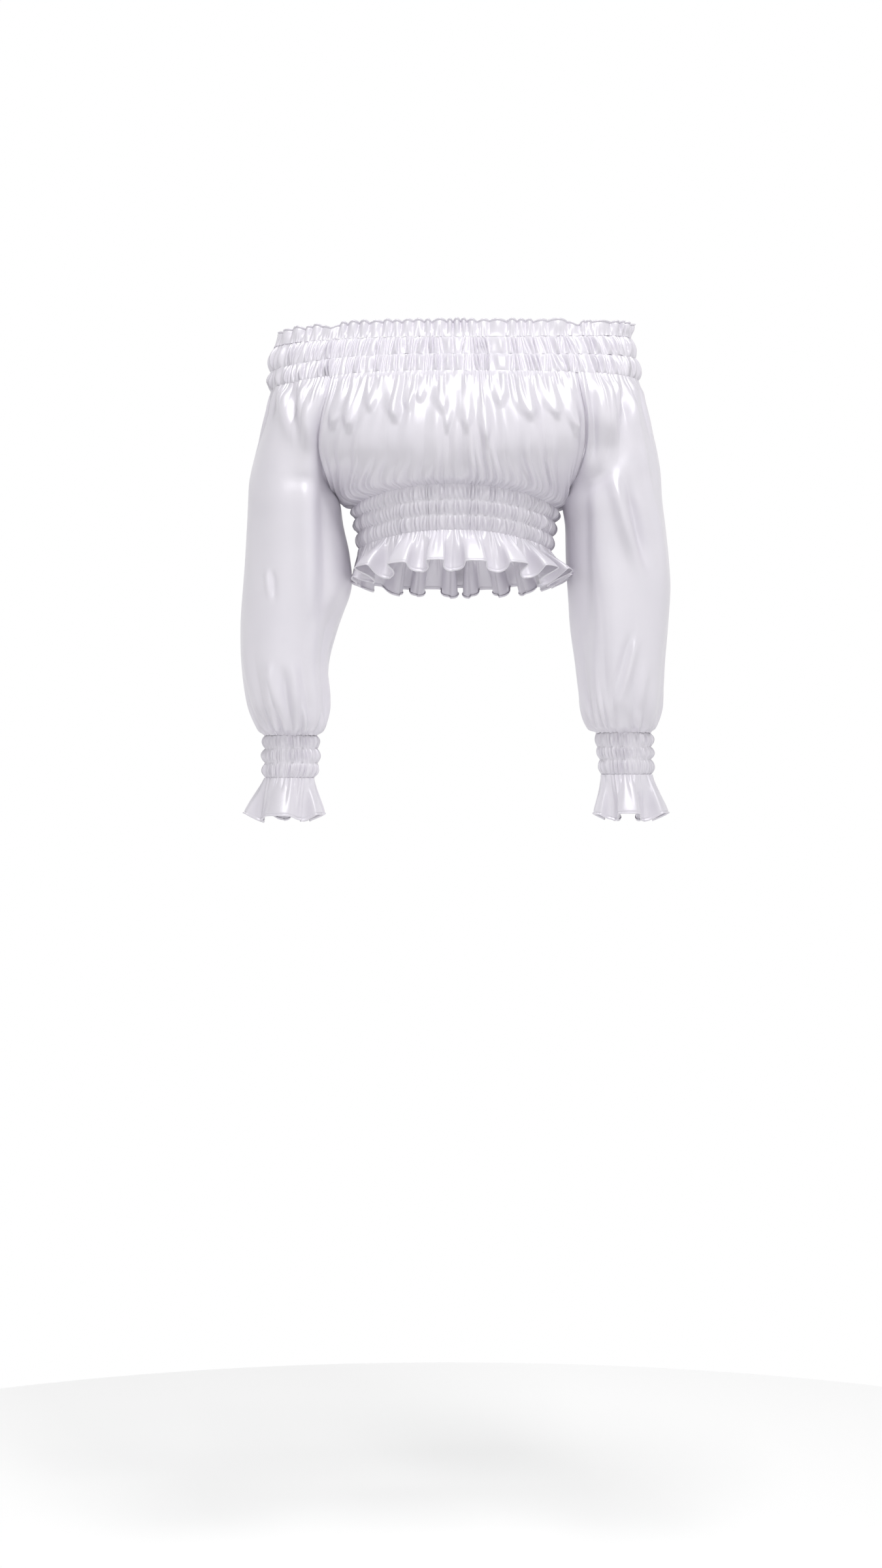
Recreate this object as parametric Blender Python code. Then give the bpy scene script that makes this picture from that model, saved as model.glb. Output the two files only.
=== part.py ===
# A cropped off-the-shoulder peasant top in white sateen, in the shape it has when worn.
# Sizes are in millimetres. The front faces -Y and up is +Z.
# Left and right are the wearer's, so the left sleeve is at +X.
# The origin is the middle of the elastic neck, level with the seam between its two channels.
import bmesh
import bpy
import numpy as np

MM = 0.001
CLOTH = 1.5
SEAM_GAP = 0.3

# Counts of gathers, waves and folds
NECK_GATHERS = 56
WAIST_GATHERS = 40
CUFF_GATHERS = 14
HEM_WAVES = 20
CUFF_WAVES = 6
PANEL_FOLDS = 10
SLEEVE_FOLDS = 7

# How far the shirring stands out from its seams, at a ridge and in a furrow
NECK_RIDGE = 4.4
NECK_FURROW = 2.8
WAIST_RIDGE = 3.6
WAIST_FURROW = 2.2
CUFF_RIDGE = 3.2
CUFF_FURROW = 2.0

FRILL_WAVE = 1.7
FRILL_NOTCH = 6.0
HEM_WAVE = 8.5
CUFF_WAVE = 6.0

# Each row is one ring round the body: how far it reaches each way, its height at the
# front, back, right and left, and how square it is, where 2 is an ellipse.
RING_COLUMNS = ("right", "left", "front", "back", "z_front", "z_back", "z_right", "z_left", "square")
NECK_RINGS = {
    "frill_edge": (-208, 213, -64, 84, 47, 43, 39, 50, 2.5),
    "frill_seam": (-212, 211, -69, 89, 26, 24, 21, 33, 2.5),
    "channel_seam": (-216, 217, -81, 95, 4, 2, -8, 8, 2.55),
    "panel_seam": (-215, 219, -94, 100, -18, -22, -31, -18, 2.6),
}
WAIST_RINGS = {
    "waist_top": (-117, 124, -100, 78, -149, -168, -167, -171, 2.2),
    "waist_upper": (-115, 121, -98, 77, -168, -185, -182, -186, 2.2),
    "waist_lower": (-112, 118, -96, 76, -185, -202, -199, -203, 2.2),
    "waist_bottom": (-110, 115, -95, 75, -203, -219, -219, -221, 2.2),
}
HEM_RINGS = {
    "hem_middle": (-114, 122, -108, 88, -223, -240, -238, -240, 2.4),
    "hem_edge": (-118, 130, -119, 98, -246, -264, -259, -258, 2.6),
}

# The bodice between the neck and the waist, with where the raglan seams cross each ring
BODICE_COLUMNS = RING_COLUMNS + ("front_seam", "back_seam")
BODICE_ROWS = (
    (-203, 205, -112, 106, -43, -45, -56, -48, 2.7, 150, 148),
    (-184, 184, -123, 109, -67, -69, -82, -76, 2.9, 155, 151),
    (-170, 168, -127, 106, -93, -93, -109, -105, 3.0, 155, 149),
    (-155, 153, -122, 98, -118, -120, -135, -132, 2.8, 147, 143),
    (-134, 133, -112, 88, -139, -150, -157, -160, 2.4, 134, 133),
)
NECK_SEAM_X = (145, 143)
BODICE_FOLD = (0.0, 2.2, 2.4, 2.6, 3.2, 3.6, 0.0)

# The sleeve over the shoulder, opposite the same rings of the bodice: how far out it
# reaches, its height there, and the angle from there to the raglan seams.
CAP_COLUMNS = ("right", "left", "z_right", "z_left", "turn")
CAP_ROWS = (
    (-219, 226, -54, -43, 82),
    (-227, 235, -81, -70, 95),
    (-235, 242, -108, -97, 112),
    (-240, 247, -134, -126, 138),
)

# The sleeve below the underarm, as far as the cuff's seam
ARM_COLUMNS = ("z", "outer", "inner", "front", "back", "fold")
RIGHT_ARM = (
    (-159, -241, -135, -82, 78, 2.6),
    (-190, -243, -130, -81, 80, 2.4),
    (-228, -247, -123, -80, 84, 2.4),
    (-268, -250, -122, -82, 83, 2.6),
    (-312, -252, -137, -84, 76, 3.0),
    (-355, -250, -148, -85, 64, 3.2),
    (-395, -242, -149, -82, 44, 3.2),
    (-426, -231, -152, -74, 14, 2.6),
    (-440, -221, -161, -62, -14, 0.0),
)
LEFT_ARM = (
    (-161, 249, 134, -82, 78, 2.6),
    (-192, 253, 137, -81, 80, 2.4),
    (-228, 257, 138, -80, 84, 2.4),
    (-268, 259, 140, -82, 83, 2.6),
    (-312, 255, 143, -84, 76, 3.0),
    (-355, 249, 149, -85, 64, 3.2),
    (-395, 245, 155, -82, 44, 3.2),
    (-424, 239, 161, -74, 14, 2.6),
    (-437, 232, 170, -62, -14, 0.0),
)

# Each cuff from its top seam to its ruffle, then the ruffle's middle and edge
CUFF_COLUMNS = ("z", "outer", "inner", "front", "back")
RIGHT_CUFF = (
    (-440, -221, -161, -62, -14),
    (-456, -221, -160, -62, -14),
    (-473, -221, -160, -63, -15),
    (-491, -220, -165, -63, -17),
)
LEFT_CUFF = (
    (-437, 232, 170, -62, -14),
    (-454, 233, 171, -62, -14),
    (-469, 233, 174, -63, -15),
    (-487, 233, 176, -63, -17),
)
RIGHT_CUFF_FRILL = (
    (-491, -220, -165, -63, -17),
    (-515, -229, -162, -72, -8),
    (-538, -237, -159, -81, 1),
)
LEFT_CUFF_FRILL = (
    (-487, 233, 176, -63, -17),
    (-512, 240, 174, -72, -8),
    (-537, 246, 171, -81, 1),
)


def named(columns, rows):
    """Each row of a table as a dictionary by column."""
    return [dict(zip(columns, row)) for row in rows]


def named_rings(table):
    return {name: dict(zip(RING_COLUMNS, row)) for name, row in table.items()}


def wave(turns):
    return np.cos(2 * np.pi * np.asarray(turns, float))


def spread(count, steps, lean):
    """Positions round a ring for this many waves, a little unevenly spaced."""
    at = np.arange(count * steps + 1) / (count * steps)
    return at + lean * np.sin(2 * np.pi * 3 * at) / count + lean * np.sin(2 * np.pi * 5 * at) / count


def body_ring(row):
    """A ring as many points, with its place round the body: 0 front, 0.25 left, 0.5 back, 0.75 right."""
    place = np.linspace(0, 1, 1441)
    across = np.sin(2 * np.pi * place)
    along = np.cos(2 * np.pi * place)
    power = 2 / row["square"]
    reach_x = np.where(across >= 0, row["left"], row["right"])
    reach_y = np.where(along >= 0, row["front"], row["back"])
    z_side = np.where(across >= 0, row["z_left"], row["z_right"])
    z_end = np.where(along >= 0, row["z_front"], row["z_back"])
    points = np.stack(
        (
            reach_x * np.abs(across) ** power,
            reach_y * np.abs(along) ** power,
            z_side * across**2 + z_end * along**2,
        ),
        axis=1,
    )
    lengths = np.r_[0, np.cumsum(np.hypot(*np.diff(points[:, :2], axis=0).T))]
    quarters = lengths[::360]
    return points, np.interp(lengths, quarters, (0, 0.25, 0.5, 0.75, 1))


def ring_at(row, at):
    """Points of a ring at these places round the body."""
    points, places = body_ring(row)
    at = np.mod(np.asarray(at, float), 1)
    return np.stack([np.interp(at, places, points[:, axis]) for axis in range(3)], axis=1)


def seam_place(row, x, back):
    """Where a raglan seam at this x crosses the left half of a ring, front or back."""
    points, places = body_ring(row)
    part = slice(360, 721) if back else slice(0, 361)
    order = np.argsort(points[part, 0])
    return np.interp(x, points[part, 0][order], places[part][order])


def ring_outward(points):
    """The level direction out of a closed ring whose last point repeats its first."""
    ahead = np.roll(points[:-1], -1, axis=0)
    behind = np.roll(points[:-1], 1, axis=0)
    run = ahead - behind
    out = np.stack((-run[:, 1], run[:, 0], np.zeros(len(run))), axis=1)
    out /= np.linalg.norm(out, axis=1, keepdims=True)
    if np.sum(out[:, :2] * (points[:-1, :2] - points[:-1, :2].mean(axis=0))) < 0:
        out = -out
    return np.vstack((out, out[:1]))


def surface_outward(grid, joined):
    """The direction out of a grid of rows, level along its first and last row."""
    down = np.gradient(grid, axis=0)
    run = np.gradient(grid, axis=1)
    if joined < len(grid):
        closing = grid[joined:, 1] - grid[joined:, -2]
        run[joined:, 0] = closing
        run[joined:, -1] = closing
    out = np.cross(run, down)
    out[0, :, 2] = 0
    out[-1, :, 2] = 0
    out /= np.linalg.norm(out, axis=2, keepdims=True)
    return out


def facing(out, level):
    """A grid's directions turned to agree with directions known to point outward."""
    return out if np.sum(out * level) > 0 else -out


def grid_faces(index):
    """Four-sided faces over a grid of point numbers."""
    faces = []
    for row in range(len(index) - 1):
        for column in range(len(index[0]) - 1):
            faces.append(
                (
                    index[row][column],
                    index[row][column + 1],
                    index[row + 1][column + 1],
                    index[row + 1][column],
                )
            )
    return faces


def cloth(name, outer, inner, joined):
    """One closed wall between two grids of rows. From row `joined` down, each row is a
    closed ring whose last point is its first. The rows above it are open at both ends."""
    points = []
    numbers = []
    for grid in (outer, inner):
        index = []
        for row, line in enumerate(grid):
            closed = row >= joined
            count = len(line) - 1 if closed else len(line)
            first = len(points)
            points.extend(line[:count])
            index.append([first + column for column in range(count)] + ([first] if closed else []))
        numbers.append(index)
    faces = grid_faces(numbers[0]) + grid_faces(numbers[1])
    for row in (0, -1):
        faces += grid_faces([numbers[0][row], numbers[1][row]])
    for column in (0, -1):
        rows = range(min(joined, len(outer) - 1) + 1)
        if joined > 0:
            faces += grid_faces([[part[row][column] for row in rows] for part in numbers])
    mesh = bpy.data.meshes.new(name)
    mesh.from_pydata((np.array(points) * MM).tolist(), [], faces)
    part = bpy.data.objects.new(name, mesh)
    TOP.objects.link(part)
    face_outward(part)
    return part


def face_outward(part):
    shape = bmesh.new()
    shape.from_mesh(part.data)
    bmesh.ops.recalc_face_normals(shape, faces=shape.faces)
    shape.to_mesh(part.data)
    shape.free()


def painted(part, colour, roughness):
    material = bpy.data.materials.new(part.name)
    material.use_nodes = True
    shader = material.node_tree.nodes["Principled BSDF"]
    shader.inputs["Base Color"].default_value = (*colour, 1)
    shader.inputs["Roughness"].default_value = roughness
    shader.inputs["Metallic"].default_value = 0
    part.data.materials.append(material)


def shifted(line, gap):
    """A row moved down by this much, or up where it is negative."""
    return line - np.array((0, 0, gap))


def shirring(name, rows, count, ridge, furrow):
    """Channels between rows of rings, with ridges on the outside and a plain inside."""
    columns = count * 2
    at = np.linspace(0, 1, columns + 1)
    height = np.where(np.arange(columns + 1) % 2 == 0, ridge, furrow)
    lines = [ring_line(row, at) for row in rows]
    lines[0] = shifted(lines[0], SEAM_GAP / 2)
    lines[-1] = shifted(lines[-1], -SEAM_GAP / 2)
    outer = [lines[0]]
    for upper, lower in zip(lines, lines[1:]):
        middle = (upper + lower) / 2
        outer.append(middle + ring_outward(middle) * height[:, None])
        outer.append(lower + ring_outward(lower) * (0 if lower is lines[-1] else 0.8))
    inner = [line - ring_outward(line) * CLOTH for line in (lines[0], lines[-1])]
    return cloth(name, outer, inner, 0)


def ring_line(row, at):
    """A closed line round the body, or round an arm where the row is a cuff's."""
    line = arm_ring(row, at) if "outer" in row else ring_at(row, at)
    line[-1] = line[0]
    return line


def arm_ring(row, at):
    """A ring round an arm, from its inner side round the front, outer side and back."""
    turn = 2 * np.pi * np.asarray(at, float)
    middle_x = (row["outer"] + row["inner"]) / 2
    middle_y = (row["front"] + row["back"]) / 2
    return np.stack(
        (
            middle_x - (row["outer"] - row["inner"]) / 2 * np.cos(turn),
            middle_y + (row["front"] - row["back"]) / 2 * np.sin(turn),
            np.full(len(turn), float(row["z"])),
        ),
        axis=1,
    )


def neck_frill():
    rings = named_rings(NECK_RINGS)
    at = np.linspace(0, 1, NECK_GATHERS * 2 + 1)
    sway = np.where(np.arange(len(at)) % 2 == 0, 1.0, -1.0)
    notch = frill_notch(at, rings["frill_seam"])
    seam = shifted(ring_line(rings["frill_seam"], at), -SEAM_GAP / 2)
    edge = ring_line(rings["frill_edge"], at)
    edge[:, 2] += 1.2 * sway - FRILL_NOTCH * notch
    middle = (seam + edge) / 2
    grid = np.stack(
        (
            edge + ring_outward(edge) * (FRILL_WAVE * sway)[:, None],
            middle + ring_outward(middle) * (0.7 * FRILL_WAVE * sway)[:, None],
            seam,
        )
    )
    level = np.stack([ring_outward(line) for line in grid])
    return cloth("neck_frill", grid, grid - level * CLOTH, 0)


def frill_notch(at, row):
    """How near each place is to the top of a raglan seam, from 0 to 1."""
    front = seam_place(row, NECK_SEAM_X[0], False)
    back = seam_place(row, NECK_SEAM_X[1], True)
    seams = np.array((front, back, 1 - back, 1 - front))
    away = np.abs(np.asarray(at)[:, None] - seams).min(axis=1)
    return np.exp(-((away / 0.008) ** 2))


def bodice_rings():
    """The seven rings from the neck seam to the waist seam, and where the seams cross each."""
    top = named_rings(NECK_RINGS)["panel_seam"]
    bottom = named_rings(WAIST_RINGS)["waist_top"]
    rows = [dict(top, front_seam=NECK_SEAM_X[0], back_seam=NECK_SEAM_X[1])]
    rows += named(BODICE_COLUMNS, BODICE_ROWS)
    for row in rows:
        row["front_place"] = seam_place(row, min(row["front_seam"], row["left"]), False)
        row["back_place"] = seam_place(row, min(row["back_seam"], row["left"]), True)
    rows[-1].update(front_place=0.25, back_place=0.25)
    rows.append(dict(bottom, front_place=0.25, back_place=0.25))
    return rows


def ring_length(row):
    points = body_ring(row)[0]
    return float(np.sum(np.hypot(*np.diff(points[:, :2], axis=0).T)))


def bodice_panel(name, back):
    """The front or the back, between the raglan seams and then the side seams."""
    rows = bodice_rings()
    across = np.linspace(-1, 1, PANEL_FOLDS * 4 + 1)
    grid = []
    for number, row in enumerate(rows):
        half = 0.5 - row["back_place"] if back else row["front_place"]
        half -= SEAM_GAP / 2 / ring_length(row)
        line = ring_at(row, (0.5 if back else 0.0) + half * across)
        drift = 0.12 * np.sin(4.1 * across + number * 0.6 + (2 if back else 0))
        rise = wave(across * PANEL_FOLDS / 2 + drift) * (1 - across**8)
        line += ring_level(row, line) * (BODICE_FOLD[number] * rise)[:, None]
        grid.append(line)
    grid[0] = shifted(grid[0], SEAM_GAP / 2)
    grid[-1] = shifted(grid[-1], -SEAM_GAP / 2)
    grid = np.array(grid)
    level = np.stack([ring_level(row, line) for row, line in zip(rows, grid)])
    out = facing(surface_outward(grid, len(grid)), level)
    return cloth(name, grid, grid - out * CLOTH, len(grid))


def ring_level(row, line):
    """The level direction away from the middle of the body, following a ring's shape."""
    scale = np.array((row["left"] - row["right"], row["back"] - row["front"])) / 2
    away = line[:, :2] / scale**2
    away /= np.linalg.norm(away, axis=1, keepdims=True)
    return np.column_stack((away, np.zeros(len(line))))


def sleeve(name, side, arm_table):
    """A raglan sleeve: open rows over the shoulder, then rings from the underarm to the cuff."""
    rows = bodice_rings()
    caps = named(CAP_COLUMNS, CAP_ROWS)
    across = np.linspace(-1, 1, SLEEVE_FOLDS * 4 + 1)
    away = 1 if side == "left" else -1
    front = rows[0]["front_place"] + SEAM_GAP / ring_length(rows[0])
    back = rows[0]["back_place"] - SEAM_GAP / ring_length(rows[0])
    places = (front + back) / 2 + (back - front) / 2 * across
    top = ring_at(rows[0], places if away > 0 else 1 - places)
    grid = [shifted(top, SEAM_GAP / 2)]
    for row, cap in zip(rows[1:5], caps):
        grid.append(cap_line(row, cap, side, away, across))
    for number, ring in enumerate(named(ARM_COLUMNS, arm_table)):
        line = arm_ring(ring, (across + 1) / 2)
        drift = 0.13 * np.sin(3.3 * across + number * 0.55)
        rise = wave(across * SLEEVE_FOLDS / 2 + drift) * (1 - across**8)
        middle = np.array(((ring["outer"] + ring["inner"]) / 2, (ring["front"] + ring["back"]) / 2))
        spoke = line[:, :2] - middle
        spoke /= np.linalg.norm(spoke, axis=1, keepdims=True)
        line[:, :2] += spoke * (ring["fold"] * rise)[:, None]
        grid.append(line)
    grid[-1] = shifted(grid[-1], -SEAM_GAP / 2)
    grid = np.array(grid)
    joined = 5
    middle = grid[:, :, :2].mean(axis=1, keepdims=True)
    middle[:joined, :, 0] = away * 150
    level = np.concatenate((grid[:, :, :2] - middle, np.zeros(grid.shape[:2] + (1,))), axis=2)
    out = facing(surface_outward(grid, joined), level)
    return cloth(name, grid, grid - out * CLOTH, joined)


def cap_line(row, cap, side, away, across):
    """An open row of the sleeve, from the front raglan seam round the arm to the back one."""
    places = (row["front_place"], row["back_place"])
    ends = ring_at(row, [place if away > 0 else 1 - place for place in places])
    ends[:, 0] += away * SEAM_GAP
    turn = np.radians(cap["turn"])
    edge_x = ends[:, 0].mean()
    reach_x = (cap[side] - edge_x) / (1 - np.cos(turn))
    reach_y = (ends[1, 1] - ends[0, 1]) / 2 / np.sin(turn)
    line = np.stack(
        (
            cap[side] - reach_x + reach_x * np.cos(turn * across),
            ends[:, 1].mean() + reach_y * np.sin(turn * across),
            np.zeros(len(across)),
        ),
        axis=1,
    )
    line[:, 0] += np.interp(across, (-1, 1), ends[:, 0] - edge_x) * np.abs(across) ** 3
    z_edge = np.interp(across, (-1, 1), ends[:, 2])
    line[:, 2] = z_edge + (cap["z_" + side] - z_edge) * np.cos(across * np.pi / 2) ** 2
    rise = wave(across * SLEEVE_FOLDS / 2 + 0.1 * np.sin(3 * across)) * (1 - across**8)
    line[:, 0] += away * 1.8 * rise * np.cos(turn * across)
    line[:, 1] += 1.8 * rise * np.sin(turn * across)
    return line


def hem_ruffle():
    """The ruffle below the waist, with rounded waves that open out to its edge."""
    waist = named_rings(WAIST_RINGS)["waist_bottom"]
    hem = named_rings(HEM_RINGS)
    at = spread(HEM_WAVES, 5, 0.12)
    sway = wave(np.arange(len(at)) / 5)
    corner = np.exp(-(((at - 0.15) / 0.04) ** 2)) + np.exp(-(((at - 0.86) / 0.04) ** 2))
    close = np.exp(-(((at - 0.77) / 0.06) ** 2))
    grid = []
    for row, share in ((waist, 0.0), (hem["hem_middle"], 0.55), (hem["hem_edge"], 1.0)):
        line = ring_line(row, at)
        reach = HEM_WAVE * share * sway * (1 - 0.75 * close) + 8 * share * corner
        line = line + ring_outward(line) * reach[:, None]
        line[:, 2] += 3.0 * share * sway
        grid.append(line)
    grid[0] = shifted(grid[0], SEAM_GAP / 2)
    grid = np.array(grid)
    level = np.stack([ring_outward(line) for line in grid])
    out = facing(surface_outward(grid, 0), level)
    return cloth("hem_ruffle", grid, grid - out * CLOTH, 0)


def cuff_ruffle(name, table):
    at = spread(CUFF_WAVES, 5, 0.1)
    sway = wave(np.arange(len(at)) / 5)
    grid = []
    for row, share in zip(named(CUFF_COLUMNS, table), (0.0, 0.5, 1.0)):
        line = ring_line(row, at)
        line = line + ring_outward(line) * (CUFF_WAVE * share * sway)[:, None]
        line[:, 2] += 3.5 * share * sway
        grid.append(line)
    grid[0] = shifted(grid[0], SEAM_GAP / 2)
    grid = np.array(grid)
    level = np.stack([ring_outward(line) for line in grid])
    out = facing(surface_outward(grid, 0), level)
    return cloth(name, grid, grid - out * CLOTH, 0)


for old in list(bpy.data.objects):
    bpy.data.objects.remove(old)
TOP = bpy.data.collections.new("Peasant top")
bpy.context.scene.collection.children.link(TOP)

neck = named_rings(NECK_RINGS)
waist = list(named_rings(WAIST_RINGS).values())
pieces = [
    neck_frill(),
    shirring(
        "neck_channel_upper",
        (neck["frill_seam"], neck["channel_seam"]),
        NECK_GATHERS,
        NECK_RIDGE,
        NECK_FURROW,
    ),
    shirring(
        "neck_channel_lower",
        (neck["channel_seam"], neck["panel_seam"]),
        NECK_GATHERS,
        NECK_RIDGE,
        NECK_FURROW,
    ),
    bodice_panel("bodice_front", False),
    bodice_panel("bodice_back", True),
    sleeve("sleeve_right", "right", RIGHT_ARM),
    sleeve("sleeve_left", "left", LEFT_ARM),
    shirring("waistband", waist, WAIST_GATHERS, WAIST_RIDGE, WAIST_FURROW),
    hem_ruffle(),
    shirring("cuff_right", named(CUFF_COLUMNS, RIGHT_CUFF), CUFF_GATHERS, CUFF_RIDGE, CUFF_FURROW),
    shirring("cuff_left", named(CUFF_COLUMNS, LEFT_CUFF), CUFF_GATHERS, CUFF_RIDGE, CUFF_FURROW),
    cuff_ruffle("cuff_ruffle_right", RIGHT_CUFF_FRILL),
    cuff_ruffle("cuff_ruffle_left", LEFT_CUFF_FRILL),
]
for piece in pieces:
    painted(piece, (0.83, 0.82, 0.84), 0.55)
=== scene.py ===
import bpy
import numpy as np
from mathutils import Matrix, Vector


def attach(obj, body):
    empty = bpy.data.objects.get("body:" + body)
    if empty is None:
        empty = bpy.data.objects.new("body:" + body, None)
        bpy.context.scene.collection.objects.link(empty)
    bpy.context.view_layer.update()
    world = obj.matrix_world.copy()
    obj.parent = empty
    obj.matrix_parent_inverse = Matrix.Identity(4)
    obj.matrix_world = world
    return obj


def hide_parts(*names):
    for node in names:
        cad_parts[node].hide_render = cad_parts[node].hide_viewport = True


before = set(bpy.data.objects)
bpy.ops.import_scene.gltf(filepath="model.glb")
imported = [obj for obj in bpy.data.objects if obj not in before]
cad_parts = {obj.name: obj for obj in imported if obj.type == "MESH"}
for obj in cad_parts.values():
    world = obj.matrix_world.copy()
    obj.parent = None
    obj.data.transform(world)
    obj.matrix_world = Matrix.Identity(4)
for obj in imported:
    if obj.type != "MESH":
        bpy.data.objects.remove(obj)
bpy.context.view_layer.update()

MM = 0.001

# Rings of the body, with how far each reaches, its heights, and how square it is
RING_COLUMNS = ("right", "left", "front", "back", "z_front", "z_back", "z_right", "z_left", "square")
NECK_RINGS = {
    "frill_edge": (-208, 213, -64, 84, 47, 43, 39, 50, 2.5),
    "frill_seam": (-212, 211, -69, 89, 26, 24, 21, 33, 2.5),
    "channel_seam": (-216, 217, -81, 95, 4, 2, -8, 8, 2.55),
    "panel_seam": (-215, 219, -94, 100, -18, -22, -31, -18, 2.6),
}
WAIST_RINGS = {
    "waist_top": (-117, 124, -100, 78, -149, -168, -167, -171, 2.2),
    "waist_upper": (-115, 121, -98, 77, -168, -185, -182, -186, 2.2),
    "waist_lower": (-112, 118, -96, 76, -185, -202, -199, -203, 2.2),
    "waist_bottom": (-110, 115, -95, 75, -203, -219, -219, -221, 2.2),
}
HEM_RINGS = {
    "hem_middle": (-114, 122, -108, 88, -223, -240, -238, -240, 2.4),
    "hem_edge": (-118, 130, -119, 98, -246, -264, -259, -258, 2.6),
}
BODICE_COLUMNS = RING_COLUMNS + ("front_seam", "back_seam")
BODICE_ROWS = (
    (-203, 205, -112, 106, -43, -45, -56, -48, 2.7, 150, 148),
    (-184, 184, -123, 109, -67, -69, -82, -76, 2.9, 155, 151),
    (-170, 168, -127, 106, -93, -93, -109, -105, 3.0, 155, 149),
    (-155, 153, -122, 98, -118, -120, -135, -132, 2.8, 147, 143),
    (-134, 133, -112, 88, -139, -150, -157, -160, 2.4, 134, 133),
)
# How far the raglan seams start from the middle at the neck, in front and at the back
NECK_SEAM_X = (145, 143)

# Rows of a sleeve above the armpit, open on the body's side, then rings round each arm
CAP_COLUMNS = ("right", "left", "z_right", "z_left", "turn")
CAP_ROWS = (
    (-219, 226, -54, -43, 82),
    (-227, 235, -81, -70, 95),
    (-235, 242, -108, -97, 112),
    (-240, 247, -134, -126, 138),
)
ARM_COLUMNS = ("z", "outer", "inner", "front", "back")
RIGHT_ARM = (
    (-159, -241, -135, -82, 78),
    (-190, -243, -130, -81, 80),
    (-228, -247, -123, -80, 84),
    (-268, -250, -122, -82, 83),
    (-312, -252, -137, -84, 76),
    (-355, -250, -148, -85, 64),
    (-395, -242, -149, -82, 44),
    (-426, -231, -152, -74, 14),
    (-440, -221, -161, -62, -14),
)
LEFT_ARM = (
    (-161, 249, 134, -82, 78),
    (-192, 253, 137, -81, 80),
    (-228, 257, 138, -80, 84),
    (-268, 259, 140, -82, 83),
    (-312, 255, 143, -84, 76),
    (-355, 249, 149, -85, 64),
    (-395, 245, 155, -82, 44),
    (-424, 239, 161, -74, 14),
    (-437, 232, 170, -62, -14),
)
RIGHT_CUFF = (
    (-440, -221, -161, -62, -14),
    (-456, -221, -160, -62, -14),
    (-473, -221, -160, -63, -15),
    (-491, -220, -165, -63, -17),
)
LEFT_CUFF = (
    (-437, 232, 170, -62, -14),
    (-454, 233, 171, -62, -14),
    (-469, 233, 174, -63, -15),
    (-487, 233, 176, -63, -17),
)
RIGHT_CUFF_FRILL = (
    (-491, -220, -165, -63, -17),
    (-515, -229, -162, -72, -8),
    (-538, -237, -159, -81, 1),
)
LEFT_CUFF_FRILL = (
    (-487, 233, 176, -63, -17),
    (-512, 240, 174, -72, -8),
    (-537, 246, 171, -81, 1),
)
# The open rows of a sleeve: its neck edge and its cap rows
OPEN_ROWS = 1 + len(CAP_ROWS)
SLEEVE_SQUARE = 2.3
CUFF_SQUARE = 2

# Folds that hang from the neck over the bust, each from its top to its blunt lower tip
TONGUE_COLUMNS = ("x_top", "x_tip", "z_tip", "width", "height")
TONGUE_TOP = -18
TONGUE_LIFT = 1.6
TONGUES = (
    (-128, -138, -78, 9, 4.0),
    (-112, -119, -82, 10, 4.6),
    (-92, -95, -63, 8, 3.6),
    (-72, -67, -74, 10, 4.6),
    (-54, -52, -62, 7, 3.0),
    (-38, -38, -53, 8, 3.4),
    (-18, -12, -66, 9, 3.6),
    (-4, -7, -84, 7, 4.0),
    (12, 15, -84, 9, 4.2),
    (30, 37, -97, 8, 5.0),
    (50, 54, -58, 8, 3.0),
    (76, 88, -72, 12, 4.6),
    (104, 118, -69, 10, 4.0),
    (128, 141, -84, 9, 4.6),
)

# Creases on the sleeves' fronts: two ends, half width and height, where below 0 is a trough
CREASE_COLUMNS = ("x1", "z1", "x2", "z2", "width", "height")
RIGHT_CREASES = (
    (-202, -24, -192, -100, 7, 6.0),
    (-176, -24, -166, -128, 8, 5.0),
    (-188, -24, -180, -112, 5, -4.5),
    (-170, -30, -166, -430, 12, 5.5),
    (-150, -90, -146, -410, 9, -5.0),
    (-217, -244, -213, -286, 3.5, 2.6),
    (-210, -246, -207, -290, 4, -2.6),
    (-216, -352, -204, -438, 6, 5.0),
    (-198, -360, -190, -438, 5, -4.0),
    (-186, -350, -182, -438, 6, 4.0),
    (-236, -110, -240, -260, 9, 3.0),
)
LEFT_CREASES = (
    (178, -20, 188, -116, 9, 7.0),
    (208, -20, 214, -80, 6, 5.5),
    (162, -24, 166, -136, 5, -5.0),
    (199, -22, 201, -104, 5, -4.5),
    (210, -50, 240, -190, 5, 4.5),
    (236, -166, 252, -268, 5, 4.0),
    (184, -128, 218, -262, 9, 11.0),
    (200, -136, 234, -270, 7, -8.5),
    (216, -320, 194, -412, 5, 4.5),
    (207, -320, 185, -408, 5, -4.0),
    (226, -352, 214, -436, 5, 4.0),
    (152, -110, 154, -430, 8, -4.5),
)
# The shares of a crease's length over which it rises at its first end and sinks at its second
CREASE_RISE = 0.3
CREASE_SINK = 0.5

# Gathers that run from a seam into a panel: their height, how sharp they are, how far the
# shortest and the longest run, and over which distances they rise where they start past the seam
RUN_COLUMNS = ("height", "power", "near", "far", "rise_from", "rise_to")
BODICE_RUNS = {
    "neck_fine": (2.2, 0.7, 6, 34, -1, 0),
    "neck_wide": (4.4, 1.0, 14, 74, 0, 12),
    "waist_fine": (2.2, 0.7, 4, 30, -1, 0),
    "waist_wide": (4.4, 1.0, 10, 74, 0, 12),
    "waist_long": (4.6, 1.3, 40, 130, 6, 30),
}
SLEEVE_RUNS = {
    "neck_fine": (2.6, 0.7, 5, 38, -1, 0),
    "neck_wide": (5.6, 1.0, 16, 110, 0, 22),
    "cuff_fine": (2.2, 0.7, 3, 20, -1, 0),
    "cuff_wide": (5.5, 1.1, 14, 105, 0, 14),
    "cuff_long": (5.0, 1.5, 60, 330, 10, 50),
}

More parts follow.
